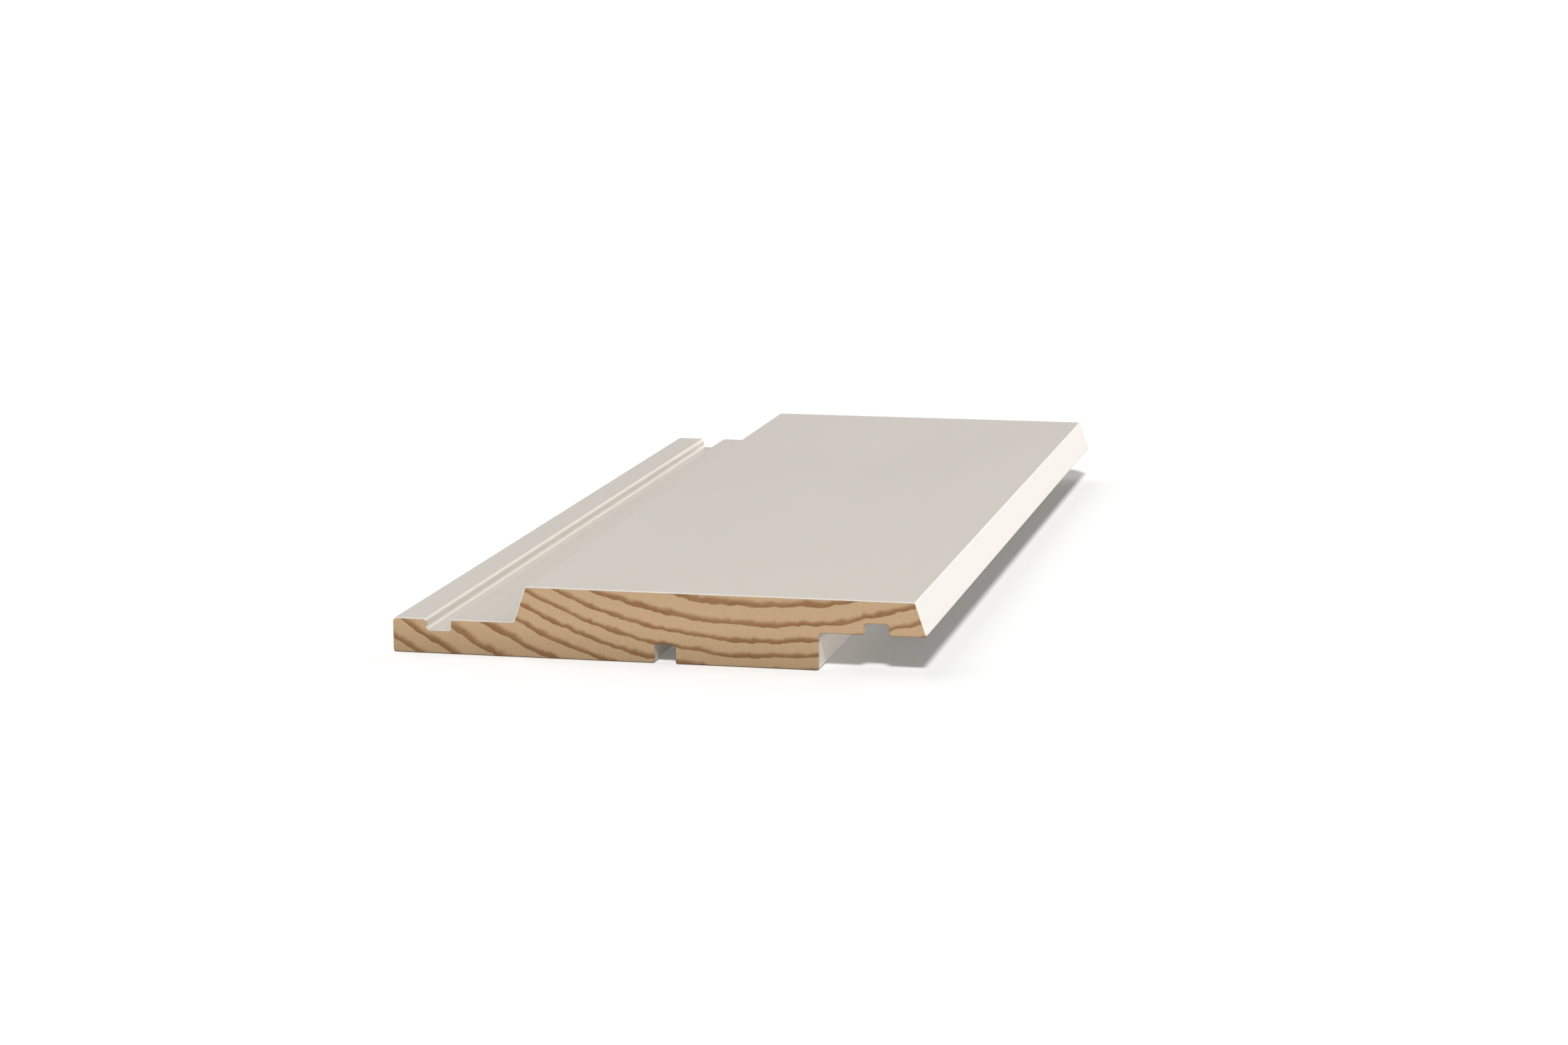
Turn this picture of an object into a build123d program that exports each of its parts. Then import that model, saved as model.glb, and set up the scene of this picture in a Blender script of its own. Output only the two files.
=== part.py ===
from build123d import *
from math import radians, tan
import os

os.makedirs("parts", exist_ok=True)

# A rusticated timber weatherboard, lying on its back with its face up. X runs across the
# board from the tip of the lap to the toe of the drip edge, Y along the grain and Z up from
# the back. On a wall the boards are laid with the drip edge down, over the lap of the board
# below. All sizes are in millimetres.

board_width = 140.0  # to the sharp corner of the toe, which its rounding then draws in a little
board_thickness = 18.5
board_length = 305.0

# The lap is the thin edge that slips behind the drip edge of the board above it
lap_width = 32.3  # from the tip to the foot of the slope
lap_thickness = 9.1

# The drip edge is the lip that hangs over the lap of the next board
rebate_width = 27.7  # from the toe of the lip to the wall of the rebate
lap_clearance = 0.5  # between a lap and the rebate's roof
expansion_gap = 2.4  # between the tip of a lap and the rebate's wall
joint_slope = 19.0  # degrees from upright, of the slope above the lap and of the bevel on the lip

# A pair of capillary grooves, which face each other where two boards lap
capillary_width = 6.5
capillary_depth = 2.9
capillary_inset = 9.1  # from the tip of the lap

# The groove in the back that keeps the board from cupping
relief_width = 5.5
relief_depth = 5.0
relief_inset = 69.6  # from the tip of the lap

# Rounding left by the moulding cutters
tip_radius = 1.0
back_arris_radius = 0.75
shelf_lip_radius = 1.0  # the weather side of the lap's groove
groove_lip_radius = 0.5
groove_floor_radius = 1.1
slope_foot_radius = 0.8
face_arris_radius = 0.6
toe_radius = 0.5
rebate_corner_radius = 0.9

# The light chamfer round each sawn end
end_arris = 0.2

# Places in the section, worked out from the sizes above
tip = -board_width / 2
toe = board_width / 2
slope_run = (board_thickness - lap_thickness) * tan(radians(joint_slope))
slope_foot = tip + lap_width
slope_head = slope_foot + slope_run
rebate_wall = toe - rebate_width
rebate_roof = lap_thickness + lap_clearance
bevel_head = toe - (board_thickness - rebate_roof) * tan(radians(joint_slope))
shelf_groove = tip + capillary_inset
drip_groove = rebate_wall + expansion_gap + capillary_inset
relief_groove = tip + relief_inset


def groove(near, far, surface, floor, near_lip, far_lip):
    """Four section corners of a square groove, in the order that the outline meets them."""
    round_floor = min(groove_floor_radius, 0.45 * abs(far - near), 0.45 * abs(surface - floor))
    return [
        (near, surface, near_lip),
        (near, floor, round_floor),
        (far, floor, round_floor),
        (far, surface, far_lip),
    ]


# Corners of the section as (across, up, radius): over the face from the tip of the lap to the
# toe of the drip edge, and home along the back
corners = [
    (tip, lap_thickness, tip_radius),
    *groove(
        shelf_groove,
        shelf_groove + capillary_width,
        lap_thickness,
        lap_thickness - capillary_depth,
        shelf_lip_radius,
        groove_lip_radius,
    ),
    (slope_foot, lap_thickness, slope_foot_radius),
    (slope_head, board_thickness, face_arris_radius),
    (bevel_head, board_thickness, face_arris_radius),
    (toe, rebate_roof, toe_radius),
    *groove(
        drip_groove + capillary_width,
        drip_groove,
        rebate_roof,
        rebate_roof + capillary_depth,
        groove_lip_radius,
        groove_lip_radius,
    ),
    (rebate_wall, rebate_roof, rebate_corner_radius),
    (rebate_wall, 0, back_arris_radius),
    *groove(
        relief_groove + relief_width,
        relief_groove,
        0,
        relief_depth,
        back_arris_radius,
        back_arris_radius,
    ),
    (tip, 0, back_arris_radius),
]

with BuildPart() as weatherboard:
    with BuildSketch(Plane.XZ):
        with BuildLine():
            FilletPolyline(
                *[(across, up) for across, up, _ in corners],
                radius=[radius for _, _, radius in corners],
                close=True,
            )
        make_face()
    extrude(amount=board_length / 2, both=True)
    sawn_ends = weatherboard.faces().filter_by(Axis.Y)
    chamfer(sawn_ends.edges(), end_arris)

weatherboard.part.label = "weatherboard"
export_step(weatherboard.part, "parts/weatherboard.step")
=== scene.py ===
from math import pi, radians

import bpy
import numpy as np
from mathutils import Matrix, Vector
from mathutils.geometry import delaunay_2d_cdt


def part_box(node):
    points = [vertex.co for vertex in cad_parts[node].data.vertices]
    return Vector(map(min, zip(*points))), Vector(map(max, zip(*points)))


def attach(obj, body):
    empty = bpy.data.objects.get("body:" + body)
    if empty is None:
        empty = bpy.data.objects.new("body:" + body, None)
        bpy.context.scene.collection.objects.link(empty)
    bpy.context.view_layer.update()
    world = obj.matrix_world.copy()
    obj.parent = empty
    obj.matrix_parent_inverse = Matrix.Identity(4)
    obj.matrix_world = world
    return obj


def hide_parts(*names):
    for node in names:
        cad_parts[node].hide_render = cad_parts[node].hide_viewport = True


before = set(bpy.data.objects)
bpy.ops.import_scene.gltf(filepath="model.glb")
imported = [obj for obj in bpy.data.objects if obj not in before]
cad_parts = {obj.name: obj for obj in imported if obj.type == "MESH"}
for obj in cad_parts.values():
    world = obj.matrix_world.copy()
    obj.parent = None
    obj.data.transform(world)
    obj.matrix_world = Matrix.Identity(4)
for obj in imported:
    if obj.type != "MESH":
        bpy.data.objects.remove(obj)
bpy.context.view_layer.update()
mm = 0.001

# A primed weatherboard sample lying on its back: X across the section, Y along the grain, Z up


# Camera, as the photograph was taken: a long lens in front and to the right, looking a little down
cameraSetup = {
    "lens": 83.12,  # mm
    "sensor": 36,  # mm wide
    "nearest": 0.05,  # m
    "farthest": 60,
    "place": (224.2, -1024.7, 198.9),  # mm
    "turn": 12.34,  # degrees to the left of straight along the board
    "down": 10.24,  # degrees below level
    "roll": -0.13,
}


def buildCamera(c):
    data = bpy.data.cameras.new("camera")
    data.lens = c["lens"]
    data.sensor_width = c["sensor"]
    data.clip_start = c["nearest"]
    data.clip_end = c["farthest"]
    camera = bpy.data.objects.new("camera", data)
    bpy.context.scene.collection.objects.link(camera)
    turned = Matrix.Rotation(radians(c["turn"]), 4, "Z")
    tipped = Matrix.Rotation(radians(90 - c["down"]), 4, "X")
    rolled = Matrix.Rotation(radians(c["roll"]), 4, "Z")
    camera.matrix_world = Matrix.Translation(Vector(c["place"]) * mm) @ turned @ tipped @ rolled
    bpy.context.scene.camera = camera


buildCamera(cameraSetup)
print("camera placed")


# The board's section in mm. The tip of the lap, the thickness and the length come from the frame
low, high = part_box("weatherboard")
boardSection = {
    "width": 140.0,  # to the sharp corner that the rounded toe is cut from
    "lapWidth": 32.3,
    "lapThickness": 9.1,
    "rebateWidth": 27.7,
    "lapClearance": 0.5,  # between a lap and the rebate's roof
    "expansionGap": 2.4,  # between the tip of a lap and the rebate's wall
    "jointSlope": 19.0,  # degrees from upright
    "capillaryInset": 9.1,  # from the tip of the lap
    "capillaryWidth": 6.5,
    "capillaryDepth": 2.9,
    "reliefInset": 69.6,  # from the tip of the lap
    "reliefWidth": 5.5,
    "reliefDepth": 5.0,
    "tipRound": 1.0,
    "backRound": 0.75,
    "shelfLipRound": 1.0,
    "lipRound": 0.5,
    "floorRound": 1.1,
    "slopeFootRound": 0.8,
    "faceRound": 0.6,
    "toeRound": 0.5,
    "rebateCornerRound": 0.9,
}


def squareGroove(near, far, mouth, floor, s, nearLip=None, farLip=None):
    # The four corners of a groove, in the order that the outline meets them
    nearLip = nearLip or s["lipRound"]
    farLip = farLip or s["lipRound"]
    deep = s["floorRound"]
    return [(near, mouth, nearLip), (near, floor, deep), (far, floor, deep), (far, mouth, farLip)]


def sectionCorners(s):
    # Corners as x, z and radius, counter-clockwise: along the back, up the drip edge and home
    # over the face. The rebate is worked out from the lap that it takes, so their grooves meet.
    tip = low.x / mm
    toe = tip + s["width"]
    top = high.z / mm
    slope = np.tan(radians(s["jointSlope"]))
    lap, back = s["lapThickness"], s["backRound"]
    foot = tip + s["lapWidth"]
    roof = lap + s["lapClearance"]
    wall = toe - s["rebateWidth"]
    relief = tip + s["reliefInset"]
    shelf = tip + s["capillaryInset"]
    drip = wall + s["expansionGap"] + s["capillaryInset"]
    return np.array(
        [(tip, 0, back)]
        + squareGroove(relief, relief + s["reliefWidth"], 0, s["reliefDepth"], s, back, back)
        + [(wall, 0, back), (wall, roof, s["rebateCornerRound"])]
        + squareGroove(drip, drip + s["capillaryWidth"], roof, roof + s["capillaryDepth"], s)
        + [
            (toe, roof, s["toeRound"]),
            (toe - (top - roof) * slope, top, s["faceRound"]),
            (foot + (top - lap) * slope, top, s["faceRound"]),
            (foot, lap, s["slopeFootRound"]),
        ]
        + squareGroove(
            shelf + s["capillaryWidth"],
            shelf,
            lap,
            lap - s["capillaryDepth"],
            s,
            farLip=s["shelfLipRound"],
        )
        + [(tip, lap, s["tipRound"])]
    )


def roundedOutline(corners, arcSteps, flatStep):
    # Every corner becomes an arc: its centre lies on the bisector, radius / sin(half the angle)
    # from the corner, and it turns by the half angle's complement each way. The straight runs
    # between the arcs are divided evenly. Returns points, outward normals and each point's bend:
    # 0 on the flat, rising by a sine to 1 halfway round an edge, or falling to -1 in a hollow.
    corner, radius = corners[:, :2], corners[:, 2]
    toLast = np.roll(corner, 1, 0) - corner
    toNext = np.roll(corner, -1, 0) - corner
    toLast /= np.linalg.norm(toLast, axis=1)[:, None]
    toNext /= np.linalg.norm(toNext, axis=1)[:, None]
    half = np.arccos((toLast * toNext).sum(1)) / 2
    bisector = toLast + toNext
    bisector /= np.linalg.norm(bisector, axis=1)[:, None]
    centre = corner + bisector * (radius / np.sin(half))[:, None]
    turn = np.sign(toNext[:, 0] * toLast[:, 1] - toNext[:, 1] * toLast[:, 0])  # +1 convex, -1 hollow
    outward = -bisector * turn[:, None]
    middle = np.arctan2(outward[:, 1], outward[:, 0])
    sweep = (pi / 2 - half) * turn
    share = np.linspace(-1, 1, arcSteps + 1)
    angle = middle[:, None] + sweep[:, None] * share[None, :]
    arcNormal = np.stack([np.cos(angle), np.sin(angle)], 2)
    arcPoint = centre[:, None] + arcNormal * (radius * turn)[:, None, None]
    convex = np.repeat(turn[:, None], arcSteps + 1, 1) * np.sin(pi * (share + 1) / 2)[None, :]
    points, normals, bends = [], [], []
    for i in range(len(corners)):
        start, end = arcPoint[i, -1], arcPoint[(i + 1) % len(corners), 0]
        count = max(1, int(round(np.linalg.norm(end - start) / flatStep)))
        along = np.linspace(0, 1, count + 1)[1:-1, None]
        points += [arcPoint[i], start + (end - start) * along]
        normals += [arcNormal[i], np.repeat(arcNormal[i, -1:], count - 1, 0)]
        bends += [convex[i], np.zeros(count - 1)]
    return np.concatenate(points), np.concatenate(normals), np.concatenate(bends)


# Growth rings: years of dark latewood round a pith that lies above the board, in mm
growthRings = {
    "pith": (26.65, 137.8),  # x and z at the near end
    "pithDrift": (0.035, 0.05),  # how far the pith wanders for each mm along the board
    "firstRing": 121.3,  # radius
    "ringWidth": 4.69,
    "swing": -0.27,  # how far fast and slow years set the rings ahead and behind, in ring widths
    "swingWidth": 37.0,
    "swingStart": 154.1,  # radius
    # Waves of a ring's line: height and length in mm, then the turn that a wave starts with and
    # gains with each mm of radius and with each mm along the board, in radians
    "waves": [
        (0.14, 62, 2.1, -0.05, 0.010),
        (0.13, 27, 5.4, -0.04, 0.021),
        (0.13, 20, 0.9, 0.13, -0.017),
        (0.09, 25, 2.5, 0.40, 0.026),
        (0.08, 15, 2.5, -0.19, 0.031),
        (0.08, 18, 3.0, -0.05, -0.024),
        (0.07, 8.9, 0.0, 0.31, 0.045),
        (0.06, 7.9, 1.3, 0.13, -0.038),
    ],
    "lateStart": 0.57,  # share of a ring's width where the wood begins to darken
    "lateFull": 0.86,
    "edgeSoft": 0.025,  # share of a ring's width over which a year's dark wood ends
}


def ringPhase(x, y, z, g):
    # The distance from the pith, plus a sum of sine waves along the ring, is counted in ring
    # widths from the first ring, and a slow sine wave of that distance is added
    start = low.y / mm
    across = x - g["pith"][0] - g["pithDrift"][0] * (y - start)
    up = z - g["pith"][1] - g["pithDrift"][1] * (y - start)
    radius = np.hypot(across, up)
    along = np.arctan2(across, -up) * g["firstRing"]
    wavy = radius
    for height, length, turn, gain, drift in g["waves"]:
        wavy = wavy + height * np.sin(2 * pi * along / length + turn + gain * radius + drift * (y - start))
    swing = g["swing"] * np.sin(2 * pi * (wavy - g["swingStart"]) / g["swingWidth"])
    return (wavy - g["firstRing"]) / g["ringWidth"] + swing


def latewood(phase, g):
    # 0 in pale spring wood, a smooth step up to 1 through the late summer wood, and a sharp
    # straight fall at the year's end
    part = phase - np.floor(phase)
    rise = np.clip((part - g["lateStart"]) / (g["lateFull"] - g["lateStart"]), 0, 1)
    fall = np.clip((1 - part) / g["edgeSoft"], 0, 1)
    return rise * rise * (3 - 2 * rise) * fall


# The board as one closed mesh
boardMesh = {
    "arcSteps": 8,
    "flatStep": 0.8,  # mm between outline points on the straight runs
    "alongStep": 8.0,  # mm between sections along the board
    "endRound": 0.28,  # the rounding round each sawn end, mm
    "endSteps": 4,
    "paintedHighlightFacing": 0.3,  # painted highlight: the rounding carries pale primer where its side faces up by more than this
    "paintedShadeFilm": 0.56,  # painted shade on an open face that lies flat, as a share of the full shade
    "grainStep": 0.42,  # mm between points on the end grain
    "grainSink": 0.035,  # how far spring wood lies below the latewood, mm
}


def endGrainPoints(outline, step):
    # A staggered lattice of points inside the outline, none closer than most of a step to the
    # outline's own points. One can still lie on a line between two of them, as at the lap's edge,
    # and leave a sliver open there. A point is inside where a ray to the right crosses the outline
    # an odd number of times.
    rowStep = step * 0.866  # the height of a triangle with even sides
    clear = step * 0.75
    least, most = outline.min(0), outline.max(0)
    across, up = np.meshgrid(
        np.arange(least[0], most[0], step), np.arange(least[1], most[1], rowStep), indexing="ij"
    )
    across = across + (np.arange(across.shape[1]) % 2)[None, :] * step / 2
    lattice = np.stack([across.ravel(), up.ravel()], 1)
    a, b = outline, np.roll(outline, -1, 0)
    above = lattice[:, None, 1] > a[None, :, 1]
    aboveNext = lattice[:, None, 1] > b[None, :, 1]
    rise = np.where(a[:, 1] == b[:, 1], 1, b[:, 1] - a[:, 1])
    crossAt = a[:, 0] + (lattice[:, None, 1] - a[None, :, 1]) * ((b[:, 0] - a[:, 0]) / rise)[None, :]
    crossings = ((above != aboveNext) & (lattice[:, None, 0] < crossAt)).sum(1)
    gap = np.sqrt(((lattice[:, None, :] - a[None, :, :]) ** 2).sum(2)).min(1)
    return lattice[(crossings % 2 == 1) & (gap > clear)]


def paintedTopAndHollowShade(outline, outNormal, film):
    # Painted shade: the film times the square of how far a point faces up darkens faces that lie
    # flat, and that same facing times the hidden share darkens hollows: of rays across the section
    # that leave the point, weighted by the cosine of their lean, the share that meets the outline again
    rays = np.radians(np.arange(-85, 86, 10))  # 18 rays, 10 degrees apart
    nearest = 0.05  # mm, so that a point doesn't hide itself
    parallel = 1e-9
    a, b = outline, np.roll(outline, -1, 0)
    run = b - a
    hidden, weight = 0, 0
    for angle in rays:
        c, d = np.cos(angle), np.sin(angle)
        ray = np.stack(
            [outNormal[:, 0] * c - outNormal[:, 1] * d, outNormal[:, 0] * d + outNormal[:, 1] * c], 1
        )
        gap = a[None] - outline[:, None]
        cross = ray[:, None, 0] * run[None, :, 1] - ray[:, None, 1] * run[None, :, 0]
        cross = np.where(np.abs(cross) < parallel, parallel, cross)
        far = (gap[..., 0] * run[None, :, 1] - gap[..., 1] * run[None, :, 0]) / cross
        share = (gap[..., 0] * ray[:, None, 1] - gap[..., 1] * ray[:, None, 0]) / cross
        hidden = hidden + c * ((far > nearest) & (share >= 0) & (share < 1)).any(1)
        weight += c
    up = np.clip(outNormal[:, 1], 0, 1)
    return film * up**2 + hidden / weight * up


def buildBoard(s, b, g):
    # The outline is repeated at stations along the board and joined by quads, and a fine mesh of
    # triangles closes each end. Returns points, normals, faces, which are bare wood, and masks.
    outline, outNormal, bend = roundedOutline(sectionCorners(s), b["arcSteps"], b["flatStep"])
    count = len(outline)
    near, far = low.y / mm, high.y / mm
    # A quarter round at each end draws the outline in by endRound * (1 - sin) at a depth of
    # endRound * (1 - cos), and turns the normal from the end to the side
    quarter = np.linspace(0, pi / 2, b["endSteps"] + 1)
    inset = b["endRound"] * (1 - np.sin(quarter))
    deep = b["endRound"] * (1 - np.cos(quarter))
    plain = int(round((far - near) / b["alongStep"]))
    middle = np.linspace(near + b["endRound"], far - b["endRound"], plain + 1)[1:-1]
    station = np.concatenate([near + deep, middle, (far - deep)[::-1]])
    shrink = np.concatenate([inset, np.zeros(len(middle)), inset[::-1]])
    facing = np.concatenate([-np.cos(quarter), np.zeros(len(middle)), np.cos(quarter)[::-1]])
    rings = outline[None] - outNormal[None] * shrink[:, None, None]
    side = np.stack([rings[..., 0], np.repeat(station[:, None], count, 1), rings[..., 1]], 2)
    lean = np.sqrt(1 - facing**2)[:, None]
    endward = np.repeat(facing[:, None], count, 1)
    sideNormal = np.stack([outNormal[None, :, 0] * lean, endward, outNormal[None, :, 1] * lean], 2)
    i = np.arange(count)
    j = np.arange(len(station) - 1)
    first = j[:, None] * count + i[None, :]
    second = j[:, None] * count + (i[None, :] + 1) % count
    quads = np.stack([first, first + count, second + count, second], 2).reshape(-1, 4)
    onRim = (j < b["endSteps"]) | (j >= len(j) - b["endSteps"])
    # Painted highlight: the rounding's upward faces take the pale primer, the rest stays bare wood
    bare = (onRim[:, None] & (outNormal[None, :, 1] < b["paintedHighlightFacing"])).ravel()
    # The sawn ends: triangles inside the drawn-in outline, with spring wood sunk between the rings
    rim = rings[0]
    inner = endGrainPoints(rim, b["grainStep"])
    flat = np.concatenate([rim, inner])
    edges = np.stack([i, (i + 1) % count], 1)
    insideOnly, sameWithin = 1, 1e-6
    found = delaunay_2d_cdt([Vector(p) for p in flat], edges.tolist(), [], insideOnly, sameWithin)
    source = np.array([members[0] for members in found[3]])
    triangles = source[np.array(found[2])]
    corner = flat[triangles]
    turned = np.cross(corner[:, 1] - corner[:, 0], corner[:, 2] - corner[:, 0]) < 0
    triangles[turned] = triangles[turned][:, ::-1]
    total = len(station) * count
    points, normals = [side.reshape(-1, 3)], [sideNormal.reshape(-1, 3)]
    faces = [quads]
    for place, way in ((near, -1), (far, 1)):
        sunk, tilt = endRelief(inner, place, b, g)
        points.append(np.stack([inner[:, 0], place - way * sunk, inner[:, 1]], 1))
        normals.append(np.stack([tilt[:, 0], np.full(len(inner), float(way)), tilt[:, 1]], 1))
        shift = (len(station) - 1) * count if way > 0 else 0
        index = np.where(triangles < count, triangles + shift, triangles - count + total)
        faces.append(index[:, ::-1] if way > 0 else index)
        total += len(inner)
    grain = np.concatenate([bare] + [np.full(len(f), True) for f in faces[1:]])
    # Painted shade on the primer: darker on faces that lie flat, and darker still in hollows
    paintedShade = paintedTopAndHollowShade(outline, outNormal, b["paintedShadeFilm"])
    masks = {"arris": np.tile(bend, len(station)), "paintedShade": np.tile(paintedShade, len(station))}
    return np.concatenate(points), np.concatenate(normals), faces, grain, masks


def endRelief(inner, place, b, g):
    # Depth is the sink times one less the latewood, and the tilt is its slope by central differences
    def depth(x, z):
        return b["grainSink"] * (1 - latewood(ringPhase(x, place, z, g), g))

    step = b["grainStep"] / 2
    x, z = inner[:, 0], inner[:, 1]
    acrossRise = depth(x + step, z) - depth(x - step, z)
    upRise = depth(x, z + step) - depth(x, z - step)
    return depth(x, z), np.stack([acrossRise, upRise], 1) / (2 * step)


def boardObject(s, b, g):
    # The mesh is filled from whole arrays, and keeps the normals worked out with its points
    points, normals, faces, grain, masks = buildBoard(s, b, g)
    loops = np.concatenate([f.ravel() for f in faces])
    sizes = np.concatenate([np.full(len(f), f.shape[1]) for f in faces])
    starts = np.concatenate([[0], np.cumsum(sizes)[:-1]])
    mesh = bpy.data.meshes.new("weatherboard")
    mesh.vertices.add(len(points))
    mesh.vertices.foreach_set("co", (points * mm).ravel())
    mesh.loops.add(len(loops))
    mesh.loops.foreach_set("vertex_index", loops.astype(np.int32))
    mesh.polygons.add(len(sizes))
    mesh.polygons.foreach_set("loop_start", starts.astype(np.int32))
    mesh.polygons.foreach_set("material_index", grain.astype(np.int32))
    mesh.update(calc_edges=True)
    mesh.validate()
    mesh.polygons.foreach_set("use_smooth", np.ones(len(mesh.polygons), bool))
    normals /= np.linalg.norm(normals, axis=1)[:, None]
    mesh.normals_split_custom_set_from_vertices(normals.tolist())
    for name, worth in masks.items():  # one value for each point of the sides, 0 on the end grain
        attribute = mesh.attributes.new(name, "FLOAT", "POINT")
        whole = np.concatenate([worth, np.zeros(len(points) - len(worth))])
        attribute.data.foreach_set("value", whole.astype(np.float32))
    board = bpy.data.objects.new("weatherboardPrimed", mesh)
    bpy.context.scene.collection.objects.link(board)
    return board


board = boardObject(boardSection, boardMesh, growthRings)
print("board meshed,", len(board.data.polygons), "faces")


# Node helpers. A noise runs from 0 to 1, mostly within noiseSpan and nearly all within wideSpan
noiseSpan = (0.3, 0.7)
wideSpan = (0.25, 0.75)


def addNode(tree, kind, **settings):
    node = tree.nodes.new("ShaderNode" + kind)
    for name, value in settings.items():
        setattr(node, name, value)
    return node


def feed(tree, socket, value):
    if isinstance(value, bpy.types.NodeSocket):
        tree.links.new(value, socket)
    else:
        socket.default_value = value


def calc(tree, operation, *values):
    node = addNode(tree, "Math", operation=operation)
    for socket, value in zip(node.inputs, values):
        feed(tree, socket, value)
    return node.outputs[0]


def ramp(tree, value, fromLow, fromHigh, toLow=0.0, toHigh=1.0, smooth=True):
    node = addNode(tree, "MapRange", interpolation_type="SMOOTHSTEP" if smooth else "LINEAR")
    feed(tree, node.inputs["Value"], value)
    limits = {"From Min": fromLow, "From Max": fromHigh, "To Min": toLow, "To Max": toHigh}
    for name, worth in limits.items():
        feed(tree, node.inputs[name], worth)
    return node.outputs["Result"]


def noise(tree, where, scale, detail=2.0, alongGrain=1.0):
    # Scale counts its lumps in each mm across the board. A lower alongGrain draws them out along it.
    mapping = addNode(tree, "Mapping")
    feed(tree, mapping.inputs["Vector"], where)
    mapping.inputs["Scale"].default_value = (1.0, alongGrain, 1.0)
    node = addNode(tree, "TexNoise")
    feed(tree, node.inputs["Vector"], mapping.outputs[0])
    node.inputs["Scale"].default_value = scale
    node.inputs["Detail"].default_value = detail
    return node.outputs["Fac"]


def blendColor(tree, factor, first, second):
    node = addNode(tree, "Mix", data_type="RGBA")
    for socket, value in zip((node.inputs[0], node.inputs[6], node.inputs[7]), (factor, first, second)):
        feed(tree, socket, value)
    return node.outputs[2]


def newGroup(name, takes, gives):
    group = bpy.data.node_groups.new(name, "ShaderNodeTree")
    for label, kind in takes:
        group.interface.new_socket(label, in_out="INPUT", socket_type="NodeSocket" + kind)
    for label, kind in gives:
        group.interface.new_socket(label, in_out="OUTPUT", socket_type="NodeSocket" + kind)
    return group, group.nodes.new("NodeGroupInput"), group.nodes.new("NodeGroupOutput")


def useGroup(tree, group, **values):
    node = addNode(tree, "Group")
    node.node_tree = group
    for name, value in values.items():
        feed(tree, node.inputs[name], value)
    return node


def ringGroup(g):
    # The same rings as ringPhase and latewood, as nodes. Jitter moves a ring by a distance in mm,
    # and Widen starts its latewood sooner by a share of a ring: both are too fine for the mesh.
    group, takes, gives = newGroup(
        "growthRings",
        [("Position", "Vector"), ("Jitter", "Float"), ("Widen", "Float")],
        [("Late", "Float")],
    )
    place = addNode(group, "SeparateXYZ")
    group.links.new(takes.outputs["Position"], place.inputs[0])
    x, y, z = place.outputs
    past = calc(group, "SUBTRACT", y, low.y / mm)
    across = calc(group, "MULTIPLY_ADD", past, -g["pithDrift"][0], calc(group, "SUBTRACT", x, g["pith"][0]))
    up = calc(group, "MULTIPLY_ADD", past, -g["pithDrift"][1], calc(group, "SUBTRACT", z, g["pith"][1]))
    squares = calc(group, "MULTIPLY_ADD", across, across, calc(group, "MULTIPLY", up, up))
    radius = calc(group, "SQRT", squares)
    angle = calc(group, "ARCTAN2", across, calc(group, "MULTIPLY", up, -1.0))
    along = calc(group, "MULTIPLY", angle, g["firstRing"])
    wavy = radius
    for height, length, turn, gain, drift in g["waves"]:
        wave = calc(group, "MULTIPLY_ADD", along, 2 * pi / length, turn)
        wave = calc(group, "MULTIPLY_ADD", radius, gain, wave)
        wave = calc(group, "MULTIPLY_ADD", past, drift, wave)
        wavy = calc(group, "MULTIPLY_ADD", calc(group, "SINE", wave), height, wavy)
    wavy = calc(group, "ADD", wavy, takes.outputs["Jitter"])
    swing = calc(group, "SUBTRACT", wavy, g["swingStart"])
    swing = calc(group, "MULTIPLY", swing, 2 * pi / g["swingWidth"])
    counted = calc(group, "DIVIDE", calc(group, "SUBTRACT", wavy, g["firstRing"]), g["ringWidth"])
    phase = calc(group, "MULTIPLY_ADD", calc(group, "SINE", swing), g["swing"], counted)
    part = calc(group, "FRACT", phase)
    rise = ramp(group, calc(group, "ADD", part, takes.outputs["Widen"]), g["lateStart"], g["lateFull"])
    fall = ramp(group, part, 1.0 - g["edgeSoft"], 1.0, 1.0, 0.0, smooth=False)
    group.links.new(calc(group, "MULTIPLY", rise, fall), gives.inputs["Late"])
    return group


def newMaterial(name):
    material = bpy.data.materials.new(name)
    material.use_nodes = True
    tree = material.node_tree
    shader = tree.nodes["Principled BSDF"]
    where = addNode(tree, "TexCoord").outputs["Object"]
    inMm = addNode(tree, "VectorMath", operation="SCALE")
    tree.links.new(where, inMm.inputs[0])
    inMm.inputs["Scale"].default_value = 1 / mm
    return material, tree, shader, inMm.outputs[0]


def setBump(tree, shader, height, distance):
    bump = addNode(tree, "Bump")
    bump.inputs["Distance"].default_value = distance
    bump.inputs["Strength"].default_value = 1.0
    feed(tree, bump.inputs["Height"], height)
    tree.links.new(bump.outputs["Normal"], shader.inputs["Normal"])


# Primer: an off-white factory coat, sprayed on planed timber
primerCoat = {
    "color": (0.872, 0.817, 0.739),  # linear
    "thinColor": (0.83, 0.76, 0.67),  # on the edges, where the coat runs thin
    "thinShare": 0.12,
    "thinStart": 0.2,  # the bend from which the coat runs thin
    "thinScale": 0.35,  # thin patches in each mm
    "paintedShade": 0.42,  # how much the primer darkens under the full painted shade
    "cloudScale": 0.03,  # clouds in each mm, which change the coat's brightness and roughness a little
    "cloudDim": 0.004,
    "roughness": 0.36,
    "roughnessSpread": 0.015,
    "specular": 0.5,
    "stipple": 0.0005,  # height in mm of the sprayed stipple and of the timber's fibres
    "stippleScale": 2.2,
    "fibreScale": 1.6,
    "grainShow": 0.0006,  # how far the rings stand up through the coat, mm
}


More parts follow.
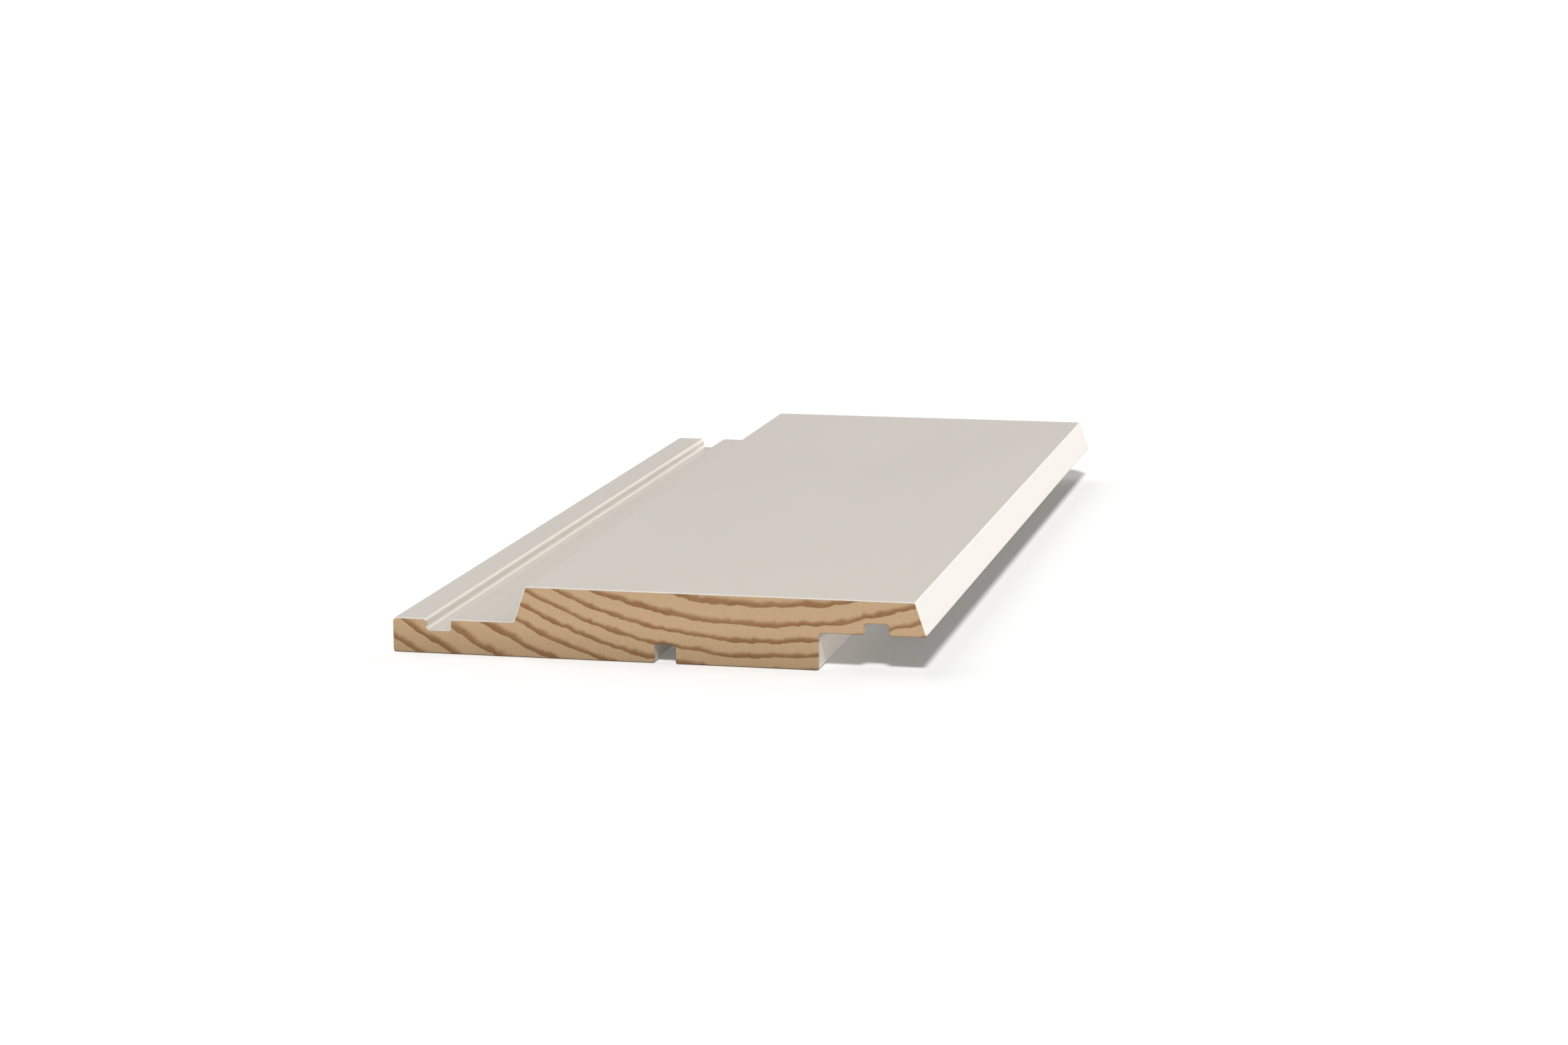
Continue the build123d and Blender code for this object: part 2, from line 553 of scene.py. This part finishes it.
def primerMaterial(p, rings):
    material, tree, shader, where = newMaterial("primerCoat")
    arris = addNode(tree, "Attribute", attribute_name="arris").outputs["Fac"]
    paintedShade = addNode(tree, "Attribute", attribute_name="paintedShade").outputs["Fac"]
    patchy = noise(tree, where, p["thinScale"], detail=3.0)
    onEdge = ramp(tree, arris, p["thinStart"], 1.0)
    thin = calc(tree, "MULTIPLY", onEdge, calc(tree, "MULTIPLY", patchy, p["thinShare"]))
    color = blendColor(tree, thin, (*p["color"], 1), (*p["thinColor"], 1))
    cloud = noise(tree, where, p["cloudScale"], detail=3.0, alongGrain=0.25)
    tint = ramp(tree, cloud, *noiseSpan, 1 - p["cloudDim"], 1.0)
    # Painted shade: the primer is made darker on faces that lie flat and in hollows
    tint = calc(tree, "MULTIPLY", tint, calc(tree, "MULTIPLY_ADD", paintedShade, -p["paintedShade"], 1.0))
    shade = addNode(tree, "HueSaturation")
    feed(tree, shade.inputs["Color"], color)
    feed(tree, shade.inputs["Value"], tint)
    tree.links.new(shade.outputs[0], shader.inputs["Base Color"])
    spread = p["roughnessSpread"] / 2
    gloss = ramp(tree, cloud, *noiseSpan, p["roughness"] - spread, p["roughness"] + spread)
    tree.links.new(gloss, shader.inputs["Roughness"])
    shader.inputs["Specular IOR Level"].default_value = p["specular"]
    late = useGroup(tree, rings, Position=where).outputs["Late"]
    stipple = noise(tree, where, p["stippleScale"], alongGrain=0.6)
    fibre = noise(tree, where, p["fibreScale"], alongGrain=0.03)
    height = calc(tree, "MULTIPLY", calc(tree, "ADD", stipple, fibre), p["stipple"])
    height = calc(tree, "MULTIPLY_ADD", late, p["grainShow"], height)
    setBump(tree, shader, height, mm)
    return material


# Sawn end grain of a softwood
endGrain = {
    "springWood": (0.588, 0.40, 0.23),  # linear
    "lateWood": (0.30, 0.148, 0.062),
    "paintedBackShade": 0.30,  # painted shade: how much darker the wood is made towards the board's back, near the floor
    "paintedBackShadeDepth": 10.5,  # mm
    "paintedBackShadeCurve": 1.3,
    "contactShadow": 0.45,  # painted contact shadow: how dark the wood is made along the back edge
    "contactShadowHeight": 0.4,  # mm
    "speckle": 0.09,
    "cellScale": 3.2,  # cells in each mm, for the speckle and the fraying
    "pores": 0.16,
    "poreScale": 2.1,
    "poreSpan": (0.68, 0.78),  # only this top end of a noise makes a pore
    "patch": 0.14,  # how much paler the latewood is in places
    "patchScale": 0.14,
    # The next four are for the whole run of a noise from 0 to 1, and most of it stays in noiseSpan
    "jitter": 1.12,  # mm that a ring's line moves
    "cusps": 1.2,  # mm, the sharp kinks of the rings
    "widen": 0.30,  # how unevenly wide the latewood is, as a share of a ring
    "fray": 0.22,  # how far its pale edge breaks up into cells, as a share of a ring
    "jitterScale": 0.4,
    "cuspScale": 0.2,
    "cuspRest": 0.1,  # the folded noise's mean, which moves no ring
    "widenScale": 0.22,
    "roughness": 0.75,
    "specular": 0.25,
    "relief": 0.02,  # mm
}


def endGrainMaterial(e, rings):
    material, tree, shader, where = newMaterial("sawnEndGrain")
    jagged = noise(tree, where, e["jitterScale"], detail=3.0, alongGrain=0.2)
    jitter = calc(tree, "MULTIPLY", calc(tree, "SUBTRACT", jagged, 0.5), e["jitter"])
    # A noise folded at its middle has a sharp crease wherever it crosses it
    smooth = noise(tree, where, e["cuspScale"], detail=1.0, alongGrain=0.2)
    folded = calc(tree, "ABSOLUTE", calc(tree, "SUBTRACT", smooth, 0.5))
    jitter = calc(tree, "MULTIPLY_ADD", calc(tree, "SUBTRACT", folded, e["cuspRest"]), e["cusps"], jitter)
    uneven = noise(tree, where, e["widenScale"], alongGrain=0.2)
    widen = calc(tree, "MULTIPLY", calc(tree, "SUBTRACT", uneven, 0.5), e["widen"])
    # Cells seen end on: a fine speckle that frays the latewood's pale edge, and darker pores
    fine = noise(tree, where, e["cellScale"], alongGrain=0.3)
    widen = calc(tree, "MULTIPLY_ADD", calc(tree, "SUBTRACT", fine, 0.5), e["fray"], widen)
    late = useGroup(tree, rings, Position=where, Jitter=jitter, Widen=widen).outputs["Late"]
    broad = noise(tree, where, e["patchScale"], alongGrain=0.3)
    dark = calc(tree, "MULTIPLY", late, ramp(tree, broad, *noiseSpan, 1 - e["patch"], 1.0))
    color = blendColor(tree, dark, (*e["springWood"], 1), (*e["lateWood"], 1))
    place = addNode(tree, "SeparateXYZ")
    tree.links.new(where, place.inputs[0])
    height = place.outputs["Z"]
    # Painted shade: the wood darker towards the board's back, and a painted contact shadow along its back
    # edge
    nearBack = ramp(tree, height, 0.0, e["paintedBackShadeDepth"], 1.0, 0.0, smooth=False)
    curved = calc(tree, "POWER", nearBack, e["paintedBackShadeCurve"])
    paintedLowShade = calc(tree, "MULTIPLY_ADD", curved, -e["paintedBackShade"], 1.0)
    # Painted contact shadow: a thin dark band at the foot of the end grain
    contactShadow = ramp(tree, height, 0.0, e["contactShadowHeight"], 1 - e["contactShadow"], 1.0)
    paintedLowShade = calc(tree, "MULTIPLY", paintedLowShade, contactShadow)
    speck = ramp(tree, fine, *wideSpan, 1 - e["speckle"], 1 + e["speckle"], smooth=False)
    cells = noise(tree, where, e["poreScale"], detail=1.0, alongGrain=0.2)
    pore = ramp(tree, cells, *e["poreSpan"], 1.0, 1 - e["pores"])
    shade = addNode(tree, "HueSaturation")
    feed(tree, shade.inputs["Color"], color)
    value = calc(tree, "MULTIPLY", calc(tree, "MULTIPLY", paintedLowShade, speck), pore)
    feed(tree, shade.inputs["Value"], value)
    tree.links.new(shade.outputs[0], shader.inputs["Base Color"])
    shader.inputs["Roughness"].default_value = e["roughness"]
    shader.inputs["Specular IOR Level"].default_value = e["specular"]
    setBump(tree, shader, calc(tree, "MULTIPLY", calc(tree, "ADD", late, fine), e["relief"]), mm)
    return material


ringNodes = ringGroup(growthRings)
board.data.materials.append(primerMaterial(primerCoat, ringNodes))
board.data.materials.append(endGrainMaterial(endGrain, ringNodes))
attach(board, "root")
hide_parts("weatherboard")
print("board finished")


# Studio: a white floor, five lamps far off and a dim dome
studio = {
    "floorSize": 16.0,  # m
    "floorDrop": 0.05,  # mm below the board's back, so that the two don't share a plane
    "floorWhite": 0.81,
    "floorBounce": 0.22,  # what the floor gives back to the object
    "floorGlow": 0.08,  # keeps the floor white and its shadow grey
    "tableGlow": 0.16,  # what that glow gives to the object
    "dome": 0.05,
}
# Each lamp's strength, the direction that it shines from and its width in degrees
lamps = {
    "key": (3.24, (0.2, -0.89, 1.0), 10),  # high above the camera
    "softBox": (1.24, (-0.76, 0.36, 0.85), 60),  # high behind on the left, for a pale shade on the right
    "fill": (0.81, (1.0, 0.25, 0.06), 6),  # low on the right, on the bevel and into the rebate
    "rim": (0.33, (0.50, 0.86, 0.087), 12),  # low behind, for the shine along the bevel
    "backLight": (0.62, (0.28, 0.90, 0.37), 33),  # higher behind, for the shine in the lap's groove
}


def buildFloor(t):
    half = t["floorSize"] / 2
    u, v = np.meshgrid([-half, half], [-half, half])
    points = np.stack([u.ravel(), v.ravel(), np.full(4, -t["floorDrop"] * mm)], 1)
    mesh = bpy.data.meshes.new("floor")
    mesh.from_pydata(points.tolist(), [], [(0, 1, 3, 2)])
    floor = bpy.data.objects.new("floor", mesh)
    bpy.context.scene.collection.objects.link(floor)
    material = bpy.data.materials.new("floorWhite")
    material.use_nodes = True
    tree = material.node_tree
    shader = tree.nodes["Principled BSDF"]
    path = addNode(tree, "LightPath")
    seen = calc(tree, "MAXIMUM", path.outputs["Is Glossy Ray"], path.outputs["Is Transmission Ray"])
    seen = calc(tree, "MAXIMUM", path.outputs["Is Camera Ray"], seen)
    grey = ramp(tree, seen, 0.0, 1.0, t["floorBounce"], t["floorWhite"], smooth=False)
    tree.links.new(grey, shader.inputs["Base Color"])
    shader.inputs["Roughness"].default_value = 1.0
    shader.inputs["Specular IOR Level"].default_value = 0.0
    shader.inputs["Emission Color"].default_value = (1, 1, 1, 1)
    glow = ramp(tree, seen, 0.0, 1.0, t["tableGlow"], t["floorGlow"], smooth=False)
    tree.links.new(glow, shader.inputs["Emission Strength"])
    mesh.materials.append(material)


def addSun(name, strength, comesFrom, soft):
    data = bpy.data.lights.new(name, "SUN")
    data.energy = strength
    data.angle = radians(soft)
    lamp = bpy.data.objects.new(name, data)
    lamp.rotation_mode = "QUATERNION"
    lamp.rotation_quaternion = Vector(comesFrom).to_track_quat("Z", "Y")
    bpy.context.scene.collection.objects.link(lamp)


def buildWorld(t):
    world = bpy.data.worlds.new("dome")
    world.use_nodes = True
    background = world.node_tree.nodes["Background"]
    background.inputs["Color"].default_value = (1, 1, 1, 1)
    background.inputs["Strength"].default_value = t["dome"]
    bpy.context.scene.world = world


buildFloor(studio)
for name, (strength, comesFrom, soft) in lamps.items():
    addSun(name, strength, comesFrom, soft)
buildWorld(studio)
bpy.context.scene.view_settings.view_transform = "Standard"
print("studio lit")
